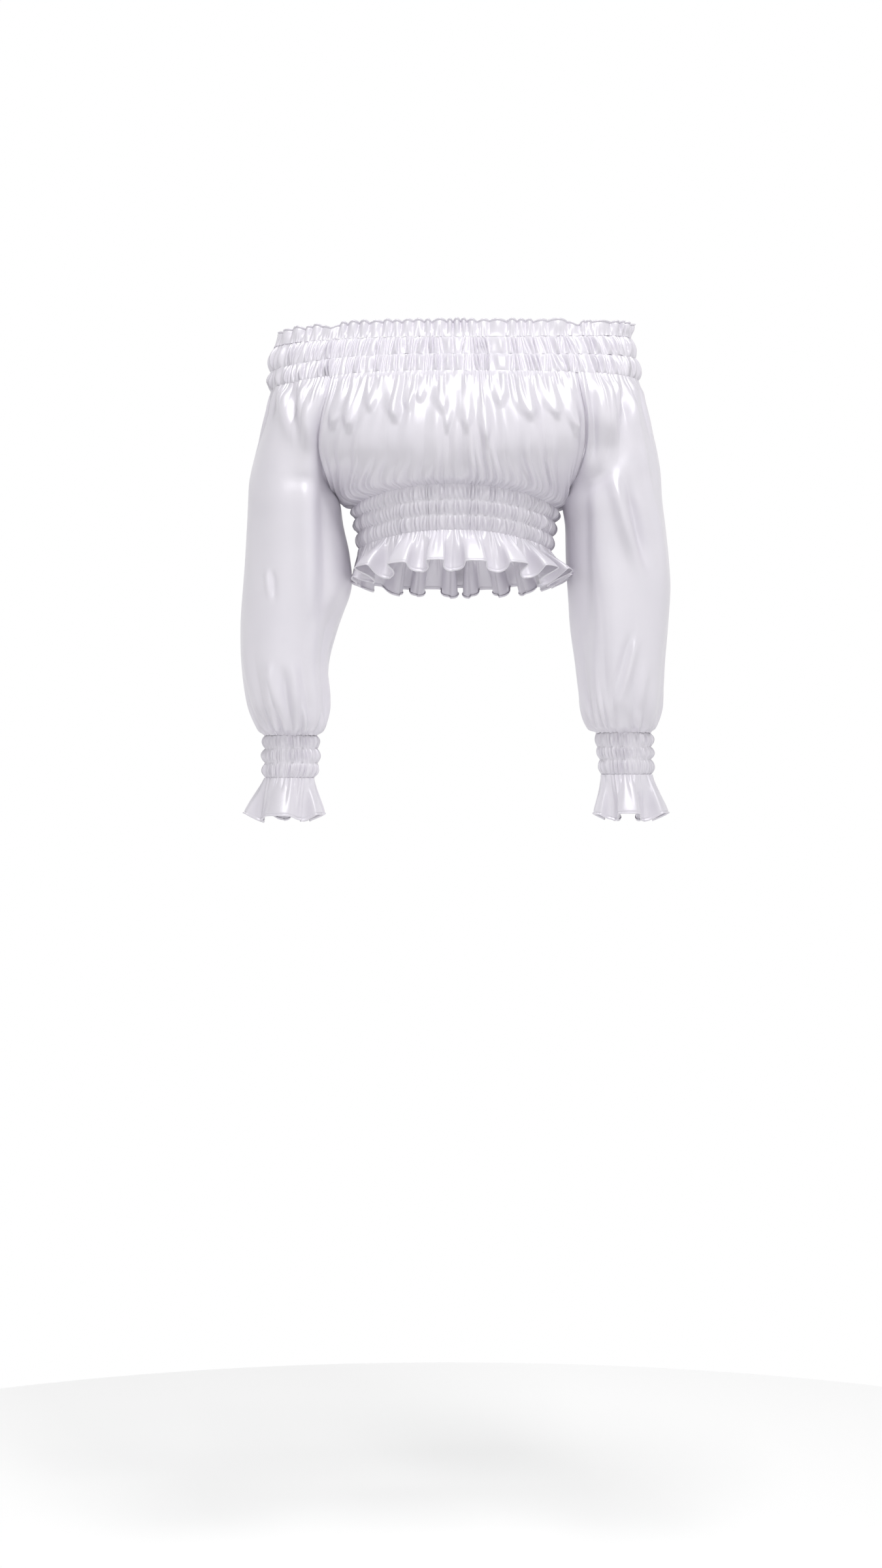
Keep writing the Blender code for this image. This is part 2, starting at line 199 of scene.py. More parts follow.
# Where the wider gathers start round the ring, so that they don't line up with the fine ones
NECK_SHIFT = 0.37
WAIST_SHIFT = 0.21
LONG_SHIFT = 0.11

# Shirred channels: how flat their puffs are, how sharp their ridges, the mean and variation of
# the ridges' height, how far they lean, and how high they and the wobble stand on the stitching
PUFF_POWER = 0.75
RIDGE_POWER = 0.9
RIDGE_MEAN = 0.75
RIDGE_VARIATION = 0.4
RIDGE_LEAN = 0.0045
STITCHED_RIDGE = 0.5
STITCHING_WOBBLE = 0.5
NECK_RIDGE = 8.2
WAIST_PUFF = 0.3
WAIST_RIDGE = 6.0
CUFF_RIDGE = 6.2

# The neck's frill: its fine gathers, its waves and how deep they sit, its rim and its notches
FRILL_FINE = 2.6
FRILL_WAVE = 6.6
FRILL_SINK = 2.0
FRILL_RIM = 1.0
FRILL_RIM_WAVE = 1.2
NOTCH_DEPTH = 5.5
NOTCH_WIDTH = 0.007

# Ruffles: waves with broad crests and narrow furrows, which lift the edge, and fine streaks
WAVE_POWER = 1.7
WAVE_GROWTH = 0.8
WAVE_LIFT = 0.4
STREAK_HEIGHT = 3.4
HEM_WAVE = 13
HEM_STEEPNESS = 0.38
CUFF_WAVE = 11
CUFF_STEEPNESS = 0.3

# The cloth dips along its seams. Folds wind round a sleeve and sway along it.
SEAM_DIP = 1.2
BODICE_SEAM_WIDTH = 0.012
SLEEVE_SEAM_WIDTH = 0.015
SLOW_BODICE_FOLDS = 1.6
SLOW_SLEEVE_FOLDS = 2.2
SLEEVE_LENGTH = 430
SLEEVE_TWIST = 0.02
SLEEVE_SWAY = 0.004

# Distances between the rows of each kind of mesh, and how many points a row has
CHANNEL_STEP = 1.9
FRILL_STEP = 1.6
BODICE_STEP = 1.4
SLEEVE_STEP = 2.0
RUFFLE_STEP = 1.8
NECK_POINTS = 1801
WAIST_POINTS = 1081
CUFF_POINTS = 353
PANEL_POINTS = 481
SLEEVE_POINTS = 361
QUARTER = 1440

# Rows of the narrow hem, by their distance from the edge, and its fold and line of stitching
HEM_ROWS = (4.2, 3.4, 2.9, 2.3, 1.7, 1.1, 0.5)
HEM_FOLD = (1.1, 0.9)
HEM_STITCHES = (2.9, 0.5)
# Rows of the cloth's turned edge: how far in each lies and how far past the edge
LIP = ((0.7, 0.5), (1.3, -0.4), (1.5, -1.4))

# Each gather's height and reach are drawn between these
GATHER_HEIGHTS = (0.4, 1.0)
GATHER_REACHES = (0.25, 1.25)

# The studio, in metres
LOW_SKY = 0.36
HIGH_SKY = 0.32
FLOOR_RADIUS = 1.3
FLOOR_SIDES = 96
FLOOR_Z = -1.445
LIGHT_TARGET = (0, 0, -0.1)
CAMERA_DISTANCE = 3.5
CAMERA_X = -0.014
CAMERA_Z = -0.498
VIEW_HEIGHT = 1.872
SENSOR_MM = 36


def named(columns, rows):
    return [dict(zip(columns, row)) for row in rows]


def named_table(columns, table):
    return {name: dict(zip(columns, row)) for name, row in table.items()}


def ease(value, low, high):
    part = np.clip((value - low) / (high - low), 0, 1)
    return part * part * (3 - 2 * part)


def bell(value, centre, width):
    """A round bump, 1 at its centre and near 0 two widths away."""
    return np.exp(-(((value - centre) / width) ** 2))


# Rings, rows and surfaces


def body_ring(row):
    """A ring as many points, with its place round the body: 0 front, 0.25 left, 0.5 back, 0.75 right."""
    place = np.linspace(0, 1, 4 * QUARTER + 1)
    across = np.sin(2 * np.pi * place)
    along = np.cos(2 * np.pi * place)
    power = 2 / row["square"]
    reach_x = np.where(across >= 0, row["left"], row["right"])
    reach_y = np.where(along >= 0, row["front"], row["back"])
    z_side = np.where(across >= 0, row["z_left"], row["z_right"])
    z_end = np.where(along >= 0, row["z_front"], row["z_back"])
    points = np.stack(
        (
            reach_x * np.abs(across) ** power,
            reach_y * np.abs(along) ** power,
            z_side * across**2 + z_end * along**2,
        ),
        axis=1,
    )
    lengths = np.r_[0, np.cumsum(np.hypot(*np.diff(points[:, :2], axis=0).T))]
    return points, np.interp(lengths, lengths[::QUARTER], (0, 0.25, 0.5, 0.75, 1))


def ring_at(row, at):
    """Points of a body ring at these places round it."""
    points, places = body_ring(row)
    at = np.mod(np.asarray(at, float), 1)
    return np.stack([np.interp(at, places, points[:, axis]) for axis in range(3)], axis=1)


def seam_place(row, x, back):
    """Where a raglan seam at this x crosses the left half of a ring, front or back."""
    points, places = body_ring(row)
    start = QUARTER if back else 0
    part = slice(start, start + QUARTER + 1)
    order = np.argsort(points[part, 0])
    return np.interp(x, points[part, 0][order], places[part][order])


def arm_ring(row, at, square):
    """A ring round an arm, from its inner side round the front, outer side and back."""
    turn = 2 * np.pi * np.asarray(at, float)
    across = -np.sign(np.cos(turn)) * np.abs(np.cos(turn)) ** (2 / square)
    along = np.sign(np.sin(turn)) * np.abs(np.sin(turn)) ** (2 / square)
    return np.stack(
        (
            (row["outer"] + row["inner"]) / 2 + (row["outer"] - row["inner"]) / 2 * across,
            (row["front"] + row["back"]) / 2 + (row["front"] - row["back"]) / 2 * along,
            np.full(len(turn), float(row["z"])),
        ),
        axis=1,
    )


def smooth_rows(lines, at):
    """Rows of a surface at these places between its given lines, on a smooth curve."""
    lines = np.asarray(lines, float)
    first = 2 * lines[:1] - lines[1:2]
    last = 2 * lines[-1:] - lines[-2:-1]
    lines = np.concatenate((first, lines, last))
    at = np.asarray(at, float)
    base = np.clip(np.floor(at).astype(int), 0, len(lines) - 4)
    part = (at - base)[:, None, None]
    a, b, c, d = (lines[base + step] for step in range(4))
    return 0.5 * (
        2 * b
        + (c - a) * part
        + (2 * a - 5 * b + 4 * c - d) * part**2
        + (3 * b - a - 3 * c + d) * part**3
    )


def row_places(lines, step):
    """Places along the given lines about this many millimetres apart."""
    places = []
    for number in range(len(lines) - 1):
        length = np.linalg.norm(np.asarray(lines[number + 1]) - lines[number], axis=1).mean()
        count = max(2, int(round(length / step)))
        places += list(number + np.arange(count) / count)
    return np.array(places + [len(lines) - 1])


def hem_rows(places, lines):
    """Rows added close to the last line, and the height of the narrow hem and its stitching."""
    last = np.linalg.norm(lines[-1] - lines[-2], axis=1).mean()
    near = places[-1] - np.array(HEM_ROWS) / last
    places = np.r_[places[places < near[0] - 0.5 / last], near, places[-1]]
    from_edge = (places[-1] - places) * last
    height = bell(from_edge, *HEM_FOLD) - 0.8 * bell(from_edge, *HEM_STITCHES)
    return places, height[:, None]


def outward(grid, closed):
    """The direction out of a surface; a closed one's columns may run either way round."""
    down = np.gradient(grid, axis=0)
    run = np.gradient(grid, axis=1)
    if closed:
        run[:, 0] = run[:, -1] = grid[:, 1] - grid[:, -2]
        x, y = grid[0, :, 0], grid[0, :, 1]
        run *= np.sign(np.sum(x[:-1] * y[1:] - x[1:] * y[:-1]))
    out = np.cross(down, run)
    out /= np.maximum(np.linalg.norm(out, axis=2, keepdims=True), 1e-9)
    return out


def lip(edge, out, past):
    """Rows that turn an edge in and back along its inside; it ends upwards at 1, downwards at -1."""
    return [edge - out * inwards + np.array((0, 0, past * beyond)) for inwards, beyond in LIP]


# Gathers and creases


def uneven(count, seed, spread):
    """Gathers of uneven width round a ring, how high each stands and how far it runs."""
    dice = np.random.default_rng(seed)
    widths = dice.lognormal(0, spread, count)
    return {
        "edges": np.r_[0, np.cumsum(widths)] / widths.sum(),
        "heights": dice.uniform(*GATHER_HEIGHTS, count),
        "reaches": dice.uniform(*GATHER_REACHES, count),
    }


def gather_at(at, gathers):
    """Which gather each place is in, and how far across it."""
    edges = gathers["edges"]
    at = np.mod(at, 1)
    which = np.clip(np.searchsorted(edges, at, side="right") - 1, 0, len(edges) - 2)
    return which, (at - edges[which]) / (edges[which + 1] - edges[which])


def ridges(at, gathers, power):
    """Round ridges with narrow furrows between them, from 0 to 1."""
    which, part = gather_at(at, gathers)
    return gathers["heights"][which] * np.abs(np.sin(np.pi * part)) ** power


def runs(at, gathers, power, distance, near, far):
    """Ridges that fade away from their seam, some of them sooner than others."""
    which, part = gather_at(at, gathers)
    shape = gathers["heights"][which] * np.abs(np.sin(np.pi * part)) ** power
    return shape * (1 - ease(distance, near, near + (far - near) * gathers["reaches"][which]))


def panel_runs(at, gathers, distance, row):
    """How high a panel's gathers stand at each distance from their seam."""
    shape = row["height"] * runs(at, gathers, row["power"], distance, row["near"], row["far"])
    return shape * ease(distance, row["rise_from"], row["rise_to"])


def drift(at, seed, low, high, count=7):
    """Smooth variation of about -1 to 1, the sum of waves that go low to high times round."""
    dice = np.random.default_rng(seed)
    total = 0
    for _ in range(count):
        total = total + np.sin(2 * np.pi * (dice.integers(low, high + 1) * at + dice.random()))
    return total / count**0.5 / 1.2


def crease(row, x, z):
    """A ridge or trough along a line between two ends, tapered at both."""
    line = np.array((row["x2"] - row["x1"], row["z2"] - row["z1"]))
    length = np.hypot(*line)
    line = line / length
    away = (x - row["x1"], z - row["z1"])
    along = (away[0] * line[0] + away[1] * line[1]) / length
    side = away[0] * line[1] - away[1] * line[0]
    taper = ease(along, -0.05, CREASE_RISE) * (1 - ease(along, 1 - CREASE_SINK, 1.05))
    return row["height"] * bell(side, 0, row["width"]) * taper


def tongue_fold(row, x, z):
    """A fold that grows wider and higher from the neck's seam down to its blunt tip."""
    share = np.clip((z - TONGUE_TOP) / (row["z_tip"] - TONGUE_TOP), 0, 2)
    centre = row["x_top"] + (row["x_tip"] - row["x_top"]) * share
    width = row["width"] * (0.55 + 0.4 * ease(share, 0, 0.7)) * (1 - 0.5 * ease(share, 0.7, 1.1))
    body = np.exp(-(np.abs((x - centre) / width) ** 2.6)) * np.clip(share, 0, 1) ** 1.6
    return TONGUE_LIFT * row["height"] * body * (1 - ease(share, 0.92, 1.22))


# Material and meshes


def sateen():
    """White sateen: a fine twill of threads, a soft sheen and slightly uneven whiteness."""
    material = bpy.data.materials.new("white_sateen")
    material.use_nodes = True
    nodes = material.node_tree.nodes
    links = material.node_tree.links
    shader = nodes["Principled BSDF"]
    shader.inputs["Metallic"].default_value = 0.16
    shader.inputs["Roughness"].default_value = 0.37
    shader.inputs["Specular IOR Level"].default_value = 0.7
    shader.inputs["Sheen Weight"].default_value = 0.08
    shader.inputs["Sheen Roughness"].default_value = 0.4
    place = nodes.new("ShaderNodeTexCoord")
    tone = nodes.new("ShaderNodeTexNoise")
    tone.inputs["Scale"].default_value = 14
    tone.inputs["Detail"].default_value = 3
    ramp = nodes.new("ShaderNodeValToRGB")
    ramp.color_ramp.elements[0].position = 0.3
    ramp.color_ramp.elements[0].color = (0.765, 0.742, 0.80, 1)
    ramp.color_ramp.elements[1].position = 0.7
    ramp.color_ramp.elements[1].color = (0.80, 0.775, 0.83, 1)
    links.new(place.outputs["Object"], tone.inputs["Vector"])
    links.new(tone.outputs["Fac"], ramp.inputs["Fac"])
    links.new(ramp.outputs["Color"], shader.inputs["Base Color"])
    weave = nodes.new("ShaderNodeTexWave")
    weave.wave_type = "BANDS"
    weave.bands_direction = "DIAGONAL"
    weave.inputs["Scale"].default_value = 900
    weave.inputs["Distortion"].default_value = 1.5
    slub = nodes.new("ShaderNodeTexNoise")
    slub.inputs["Scale"].default_value = 420
    slub.inputs["Detail"].default_value = 4
    threads = nodes.new("ShaderNodeMath")
    threads.operation = "ADD"
    bump = nodes.new("ShaderNodeBump")
    bump.inputs["Strength"].default_value = 0.18
    bump.inputs["Distance"].default_value = 0.0002
    links.new(place.outputs["Object"], weave.inputs["Vector"])
    links.new(place.outputs["Object"], slub.inputs["Vector"])
    links.new(weave.outputs["Fac"], threads.inputs[0])
    links.new(slub.outputs["Fac"], threads.inputs[1])
    links.new(threads.outputs["Value"], bump.inputs["Height"])
    links.new(bump.outputs["Normal"], shader.inputs["Normal"])
    return material


def make_mesh(name, grid, closed):
    """A smooth mesh from a grid of points, whose last column repeats its first where closed."""
    rows, columns = grid.shape[:2]
    count = columns - 1 if closed else columns
    points = grid[:, :count].reshape(-1, 3) * MM
    top = np.arange(rows - 1)[:, None] * count
    here = np.arange(columns - 1)[None, :]
    ahead = (here + 1) % count if closed else here + 1
    faces = np.stack((top + here, top + count + here, top + count + ahead, top + ahead), axis=-1)
    mesh = bpy.data.meshes.new(name)
    mesh.from_pydata(points.tolist(), [], faces.reshape(-1, 4).tolist())
    mesh.polygons.foreach_set("use_smooth", np.ones(len(mesh.polygons), bool))
    piece = bpy.data.objects.new(name, mesh)
    bpy.context.scene.collection.objects.link(piece)
    return piece


def cloth(name, grid, closed):
    """The cloth of one piece of the top, in the place of its solid."""
    piece = make_mesh(name + "_cloth", grid, closed)
    piece.data.materials.append(SATEEN)
    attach(piece, "root")
    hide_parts(name)


# Pieces of the top


def channels(name, lines, at, gathers, puff, ridge, seed):
    """Shirred channels between lines of stitching, puffed between them and pinched on them."""
    places = row_places(lines, CHANNEL_STEP)
    grid = smooth_rows(lines, places)
    part = places - np.floor(places)
    belly = np.sin(np.pi * part) ** PUFF_POWER
    belly[-1] = 0
    channel = np.minimum(np.floor(places).astype(int), len(lines) - 2)
    height = np.zeros(grid.shape[:2])
    for number in range(len(places)):
        lean = RIDGE_LEAN * drift(at, seed + 31 * channel[number], 8, 60) * (part[number] - 0.5)
        shape = ridges(at + lean, gathers, RIDGE_POWER)
        weight = RIDGE_MEAN + RIDGE_VARIATION * drift(at, seed + 7 + 13 * channel[number], 20, 90)
        height[number] = belly[number] * (puff + ridge * weight * shape) + STITCHED_RIDGE * shape
    wobble = STITCHING_WOBBLE * drift(at, seed + 3, 30, 110)
    grid[:, :, 2] += wobble[None, :] * (1 - belly)[:, None]
    grid = grid + outward(grid, True) * height[:, :, None]
    grid[:, -1] = grid[:, 0]
    cloth(name, grid, True)


def neck_lines(names, at):
    rings = named_table(RING_COLUMNS, NECK_RINGS)
    return [ring_at(rings[name], at) for name in names]


def neck_frill(at):
    """The heading above the neck's elastic, with a notch over each raglan seam."""
    lines = neck_lines(("frill_seam", "frill_edge"), at)
    places, narrow_hem = hem_rows(row_places(lines, FRILL_STEP), lines)
    places, narrow_hem = 1 - places[::-1], narrow_hem[::-1]
    grid = smooth_rows(lines[::-1], places)
    up = (1 - places)[:, None]
    fine = ridges(at, NECK_GATHERS, 0.7)[None, :]
    large = ridges(at + 0.0006 * drift(at, 4, 10, 30), FRILL_GATHERS, 1.0)[None, :]
    height = FRILL_FINE * fine * (1 - up) ** 2 + narrow_hem
    height += (FRILL_WAVE * large - FRILL_SINK) * ease(up, 0.0, 0.7)
    seam_row = named_table(RING_COLUMNS, NECK_RINGS)["frill_seam"]
    front = seam_place(seam_row, NECK_SEAM_X[0], False)
    back = seam_place(seam_row, NECK_SEAM_X[1], True)
    from_seam = np.abs(at[:, None] - np.array((front, back, 1 - back, 1 - front))).min(axis=1)
    rim = FRILL_RIM * drift(at, 9, 12, 40) + FRILL_RIM_WAVE * (large[0] - 0.5)
    rim -= NOTCH_DEPTH * bell(from_seam, 0, NOTCH_WIDTH)
    grid[:, :, 2] += up * rim[None, :]
    grid = grid + outward(grid, True) * height[:, :, None]
    grid = np.concatenate((np.array(lip(grid[0], outward(grid, True)[0], 1)[::-1]), grid))
    grid[:, -1] = grid[:, 0]
    cloth("neck_frill", grid, True)


def bodice_rings():
    """The bodice's rings from neck to waist, and where the seams cross the left half of each."""
    top = named_table(RING_COLUMNS, NECK_RINGS)["panel_seam"]
    bottom = named_table(RING_COLUMNS, WAIST_RINGS)["waist_top"]
    rows = [dict(top, front_seam=NECK_SEAM_X[0], back_seam=NECK_SEAM_X[1])]
    rows += named(BODICE_COLUMNS, BODICE_ROWS)
    for row in rows:
        row["front_place"] = seam_place(row, min(row["front_seam"], row["left"]), False)
        row["back_place"] = seam_place(row, min(row["back_seam"], row["left"]), True)
    rows[-1].update(front_place=0.25, back_place=0.25)
    rows.append(dict(bottom, front_place=0.25, back_place=0.25))
    return rows


def bodice_panel(name, back, seed):
    across = np.linspace(-1, 1, PANEL_POINTS)
    lines = []
    round_body = []
    for row in bodice_rings():
        half = 0.5 - row["back_place"] if back else row["front_place"]
        place = (0.5 if back else 0.0) + half * across
        lines.append(ring_at(row, place))
        round_body.append(place)
    grid = smooth_rows(lines, row_places(lines, BODICE_STEP))
    middle = grid[:, PANEL_POINTS // 2]
    length = np.concatenate(([0], np.cumsum(np.linalg.norm(np.diff(middle, axis=0), axis=1))))
    down = (length / length[-1])[:, None]
    above = length[:, None]
    below = length[-1] - above
    neck_at = round_body[0][None, :] + 0.0015 * drift(across, seed, 2, 6)[None, :] * down
    waist_at = round_body[-1][None, :] + 0.002 * drift(across, seed + 1, 2, 6)[None, :] * (1 - down)
    rows = named_table(RUN_COLUMNS, BODICE_RUNS)
    height = panel_runs(neck_at, NECK_GATHERS, above, rows["neck_fine"])
    height += panel_runs(neck_at + NECK_SHIFT, uneven(84, seed + 2, 0.4), above, rows["neck_wide"])
    height += panel_runs(waist_at, WAIST_GATHERS, below, rows["waist_fine"])
    height += panel_runs(waist_at + WAIST_SHIFT, uneven(62, seed + 3, 0.4), below, rows["waist_wide"])
    height += panel_runs(waist_at + LONG_SHIFT, uneven(26, seed + 4, 0.4), below, rows["waist_long"])
    slow = drift(across, seed + 5, 2, 9)[None, :] * np.sin(np.pi * down) ** 2
    height += SLOW_BODICE_FOLDS * slow
    x = -grid[:, :, 0] if back else grid[:, :, 0]
    for row in named(TONGUE_COLUMNS, TONGUES):
        height += tongue_fold(row, x, grid[:, :, 2])
    from_seam = (1 - np.abs(across))[None, :]
    height *= ease(from_seam, 0.0, 0.03) * 0.9 + 0.1
    height -= SEAM_DIP * bell(from_seam, 0, BODICE_SEAM_WIDTH)
    grid = grid + outward(grid, False) * height[:, :, None]
    cloth(name, grid, False)


def cap_line(row, cap, side, across):
    """An open row of the sleeve, from the front raglan seam round the arm to the back one."""
    places = (row["front_place"], row["back_place"])
    ends = ring_at(row, [place if side == "left" else 1 - place for place in places])
    turn = np.radians(cap["turn"])
    edge_x = ends[:, 0].mean()
    reach_x = (cap[side] - edge_x) / (1 - np.cos(turn))
    reach_y = (ends[1, 1] - ends[0, 1]) / 2 / np.sin(turn)
    line = np.stack(
        (
            cap[side] - reach_x + reach_x * np.cos(turn * across),
            ends[:, 1].mean() + reach_y * np.sin(turn * across),
            np.zeros(len(across)),
        ),
        axis=1,
    )
    line[:, 0] += np.interp(across, (-1, 1), ends[:, 0] - edge_x) * np.abs(across) ** 3
    z_edge = np.interp(across, (-1, 1), ends[:, 2])
    line[:, 2] = z_edge + (cap["z_" + side] - z_edge) * np.cos(across * np.pi / 2) ** 2
    return line


def sleeve_lines(side, arm_table, across):
    """A sleeve's rows from neck to cuff, and the places of the first one round the neck."""
    rows = bodice_rings()
    front, back = rows[0]["front_place"], rows[0]["back_place"]
    places = (front + back) / 2 + (back - front) / 2 * across
    if side == "right":
        places = 1 - places
    lines = [ring_at(rows[0], places)]
    for row, cap in zip(rows[1:], named(CAP_COLUMNS, CAP_ROWS)):
        lines.append(cap_line(row, cap, side, across))
    for ring in named(ARM_COLUMNS, arm_table):
        lines.append(arm_ring(ring, (across + 1) / 2, SLEEVE_SQUARE))
    return lines, places


def sleeve(side, arm_table, creases, seed):
    across = np.linspace(-1, 1, SLEEVE_POINTS)
    lines, places = sleeve_lines(side, arm_table, across)
    at = row_places(lines, SLEEVE_STEP)
    grid = smooth_rows(lines, at)
    steps = np.linalg.norm(np.diff(grid, axis=0), axis=2).mean(axis=1)
    length = np.concatenate(([0], np.cumsum(steps)))
    above = length[:, None]
    below = length[-1] - above
    neck_at = places[None, :]
    around = (across[None, :] + 1) / 2
    twist = SLEEVE_TWIST * drift(above / SLEEVE_LENGTH, seed, 1, 2, 3)
    sway = SLEEVE_SWAY * drift(above / SLEEVE_LENGTH, seed + 9, 1, 3, 3)
    rows = named_table(RUN_COLUMNS, SLEEVE_RUNS)
    height = panel_runs(neck_at, NECK_GATHERS, above, rows["neck_fine"])
    height += panel_runs(neck_at + sway, uneven(80, seed + 1, 0.4), above, rows["neck_wide"])
    height += panel_runs(around, CUFF_GATHERS, below, rows["cuff_fine"])
    height += panel_runs(around + twist, uneven(22, seed + 2, 0.4), below, rows["cuff_wide"])
    long = panel_runs(around + 2 * twist, uneven(9, seed + 3, 0.3), below, rows["cuff_long"])
    height += long * ease(above, 20, 80)
    slow = drift(around + twist, seed + 4, 2, 5) * ease(above, 10, 60) * ease(below, 10, 50)
    height += SLOW_SLEEVE_FOLDS * slow
    front_side = ease(-grid[:, :, 1], -30, 20)
    for row in named(CREASE_COLUMNS, creases):
        height += crease(row, grid[:, :, 0], grid[:, :, 2]) * front_side
    edge = bell(1 - np.abs(across)[None, :], 0, SLEEVE_SEAM_WIDTH)
    seamed = height * (1 - 0.8 * edge) - SEAM_DIP * edge
    height = np.where(at[:, None] < OPEN_ROWS, seamed, height * (1 - 0.6 * edge))
    closed_rows = at >= OPEN_ROWS
    out = outward(grid, False)
    joint = (out[closed_rows, 0] + out[closed_rows, -1]) / 2
    out[closed_rows, 0] = out[closed_rows, -1] = joint
    out /= np.maximum(np.linalg.norm(out, axis=2, keepdims=True), 1e-9)
    if side == "right":
        out = -out
    grid = grid + out * height[:, :, None]
    joint = (grid[closed_rows, 0] + grid[closed_rows, -1]) / 2
    grid[closed_rows, 0] = grid[closed_rows, -1] = joint
    cloth("sleeve_" + side, grid, False)


def ruffle(name, lines, at, gathers, waves, wave_height, steepness, boost):
    """A gathered strip that opens from fine gathers at its seam into deep round waves."""
    places, narrow_hem = hem_rows(row_places(lines, RUFFLE_STEP), lines)
    grid = smooth_rows(lines, places)
    part = (places / places[-1])[:, None]
    which, phase = gather_at(at, waves)
    tall = waves["heights"][which] * boost
    swing = 1 - 2 * ((1 + np.cos(2 * np.pi * phase)) / 2) ** WAVE_POWER
    lean = np.sin(4 * np.pi * phase)
    grow = ease(part, 0.0, 1.0) ** WAVE_GROWTH
    out = outward(grid, True)
    out[:, :, 2] *= 0.3
    out /= np.linalg.norm(out, axis=2, keepdims=True)
    along = np.gradient(grid, axis=1)
    along[:, 0] = along[:, -1] = grid[:, 1] - grid[:, -2]
    along /= np.linalg.norm(along, axis=2, keepdims=True)
    streaks = runs(at[None, :], gathers, 0.8, part, 0.0, 0.9)
    height = wave_height * grow * (tall * swing)[None, :] + STREAK_HEIGHT * streaks + narrow_hem
    slide = steepness * wave_height * grow * (tall * lean)[None, :]
    grid = grid + out * height[:, :, None] + along * slide[:, :, None]
    grid[:, :, 2] += part**1.5 * WAVE_LIFT * wave_height * (tall * swing)[None, :]
    grid = np.concatenate((grid, np.array(lip(grid[-1], outward(grid, True)[-1], -1))))
    grid[:, -1] = grid[:, 0]
    cloth(name, grid, True)


def neck():
    at = np.linspace(0, 1, NECK_POINTS)
    neck_frill(at)
    for name, seams, seed in (
        ("neck_channel_upper", ("frill_seam", "channel_seam"), 60),
        ("neck_channel_lower", ("channel_seam", "panel_seam"), 90),
    ):
        lines = neck_lines(seams, at)
        channels(name, lines, at, NECK_GATHERS, 0.0, NECK_RIDGE, seed)


def waist_and_hem():
    """The waistband and the hem ruffle, whose waves are deeper at the front corners."""
    at = np.linspace(0, 1, WAIST_POINTS)
    waist = [ring_at(row, at) for row in named_table(RING_COLUMNS, WAIST_RINGS).values()]
    channels("waistband", waist, at, WAIST_GATHERS, WAIST_PUFF, WAIST_RIDGE, 200)
    hem = [ring_at(row, at) for row in named_table(RING_COLUMNS, HEM_RINGS).values()]
    corners = bell(at, 0.15, 0.04) + bell(at, 0.86, 0.04)
    beside_sleeve = bell(at, 0.77, 0.06)
    boost = 1.1 + 0.6 * corners - 0.75 * beside_sleeve
    waves = uneven(20, 17, 0.2)
    lines = [waist[-1]] + hem
    steepness = HEM_STEEPNESS
    ruffle("hem_ruffle", lines, at, WAIST_GATHERS, waves, HEM_WAVE, steepness, boost)


def cuff(side, cuff_table, frill_table, seed):
    at = np.linspace(0, 1, CUFF_POINTS)
    lines = [arm_ring(row, at, CUFF_SQUARE) for row in named(ARM_COLUMNS, cuff_table)]
    channels("cuff_" + side, lines, at, CUFF_GATHERS, 0.0, CUFF_RIDGE, seed)
    name = "cuff_ruffle_" + side
    lines = [arm_ring(row, at, CUFF_SQUARE) for row in named(ARM_COLUMNS, frill_table)]
    waves = uneven(6, seed + 1, 0.2)
    ruffle(name, lines, at, CUFF_GATHERS, waves, CUFF_WAVE, CUFF_STEEPNESS, 1.0)


# Studio


def plain_material(name, colour, glow):
    material = bpy.data.materials.new(name)
    material.use_nodes = True
    shader = material.node_tree.nodes["Principled BSDF"]
    shader.inputs["Base Color"].default_value = (*colour, 1)
    shader.inputs["Roughness"].default_value = 0.8
    shader.inputs["Emission Color"].default_value = (1, 1, 1, 1)
    shader.inputs["Emission Strength"].default_value = glow
    return material


def pale_floor():
    """A round floor at the level of the real one."""
    turn = np.linspace(0, 2 * np.pi, FLOOR_SIDES + 1)[:-1]
    x, y = FLOOR_RADIUS * np.cos(turn), FLOOR_RADIUS * np.sin(turn)
    edge = np.stack((x, y, np.full(FLOOR_SIDES, FLOOR_Z)), axis=1)
    mesh = bpy.data.meshes.new("floor")
    mesh.from_pydata(edge.tolist(), [], [tuple(range(FLOOR_SIDES))])
    mesh.materials.append(plain_material("floor_white", (0.95, 0.95, 0.95), 0.3))
    floor = bpy.data.objects.new("floor", mesh)
    bpy.context.scene.collection.objects.link(floor)


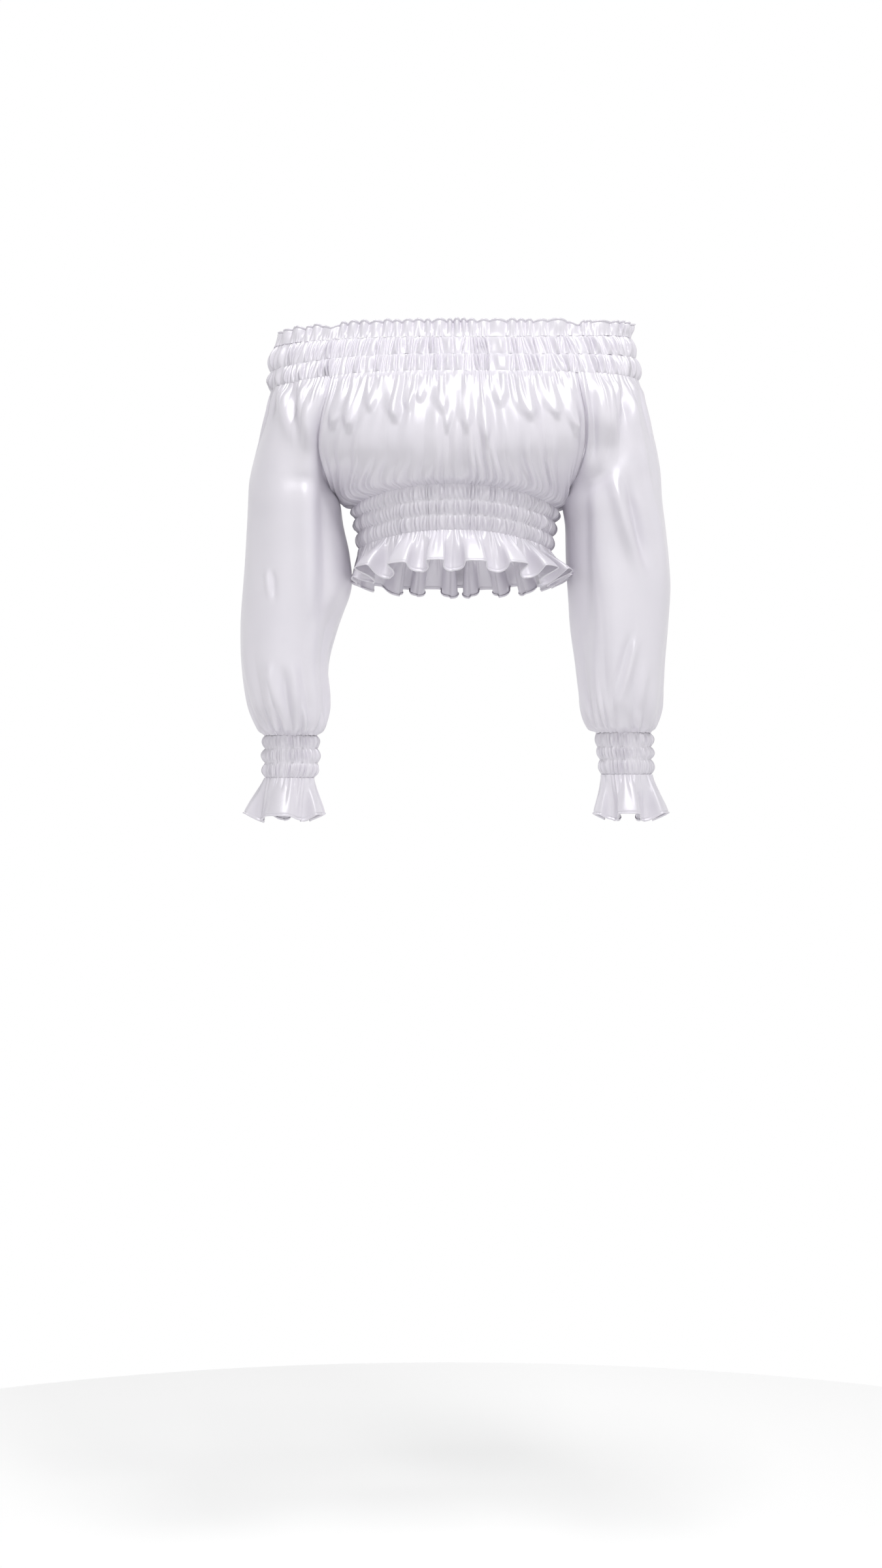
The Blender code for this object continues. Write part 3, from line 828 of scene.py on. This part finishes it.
def surroundings():
    """White all round near eye level, and dimmer above and below."""
    world = bpy.data.worlds.new("studio")
    world.use_nodes = True
    nodes = world.node_tree.nodes
    links = world.node_tree.links
    place = nodes.new("ShaderNodeTexCoord")
    parts = nodes.new("ShaderNodeSeparateXYZ")
    ramp = nodes.new("ShaderNodeValToRGB")
    height = nodes.new("ShaderNodeMapRange")
    height.inputs["From Min"].default_value = -1
    height.inputs["From Max"].default_value = 1
    stops = ramp.color_ramp.elements
    stops[0].position = 0.0
    stops[0].color = (LOW_SKY, LOW_SKY, LOW_SKY, 1)
    stops[1].position = 1.0
    stops[1].color = (HIGH_SKY, HIGH_SKY, HIGH_SKY, 1)
    for position, level in ((0.24, LOW_SKY), (0.36, 1.0), (0.64, 1.0), (0.76, HIGH_SKY)):
        stops.new(position).color = (level, level, level, 1)
    links.new(place.outputs["Generated"], parts.inputs["Vector"])
    links.new(parts.outputs["Z"], height.inputs["Value"])
    links.new(height.outputs["Result"], ramp.inputs["Fac"])
    links.new(ramp.outputs["Color"], nodes["Background"].inputs["Color"])
    bpy.context.scene.world = world


def area_light(name, place, size, power):
    lamp = bpy.data.lights.new(name, "AREA")
    lamp.shape = "RECTANGLE"
    lamp.size, lamp.size_y = size
    lamp.energy = power
    light = bpy.data.objects.new(name, lamp)
    bpy.context.scene.collection.objects.link(light)
    light.location = place
    direction = Vector(LIGHT_TARGET) - Vector(place)
    light.rotation_euler = direction.to_track_quat("-Z", "Y").to_euler()


def front_camera():
    """A level camera in front, whose picture is as high as the photo's at the garment."""
    lens = bpy.data.cameras.new("camera")
    lens.lens = SENSOR_MM * CAMERA_DISTANCE / VIEW_HEIGHT
    camera = bpy.data.objects.new("camera", lens)
    bpy.context.scene.collection.objects.link(camera)
    camera.location = (CAMERA_X, -CAMERA_DISTANCE, CAMERA_Z)
    camera.rotation_euler = (np.pi / 2, 0, 0)
    bpy.context.scene.camera = camera
    bpy.context.scene.view_settings.view_transform = "Standard"
    bpy.context.scene.view_settings.look = "None"


SATEEN = sateen()
NECK_GATHERS = uneven(180, 3, 0.45)
FRILL_GATHERS = uneven(76, 5, 0.4)
WAIST_GATHERS = uneven(130, 7, 0.4)
CUFF_GATHERS = uneven(32, 11, 0.4)

neck()
bodice_panel("bodice_front", False, 20)
bodice_panel("bodice_back", True, 50)
sleeve("right", RIGHT_ARM, RIGHT_CREASES, 120)
sleeve("left", LEFT_ARM, LEFT_CREASES, 160)
waist_and_hem()
cuff("right", RIGHT_CUFF, RIGHT_CUFF_FRILL, 230)
cuff("left", LEFT_CUFF, LEFT_CUFF_FRILL, 260)

pale_floor()
surroundings()
area_light("front_high", (0.6, -1.7, 1.8), (0.5, 0.4), 18)
area_light("overhead", (0.15, -0.85, 1.9), (0.5, 0.4), 18)
area_light("behind", (-0.9, 1.9, 1.6), (0.8, 0.6), 12)
front_camera()
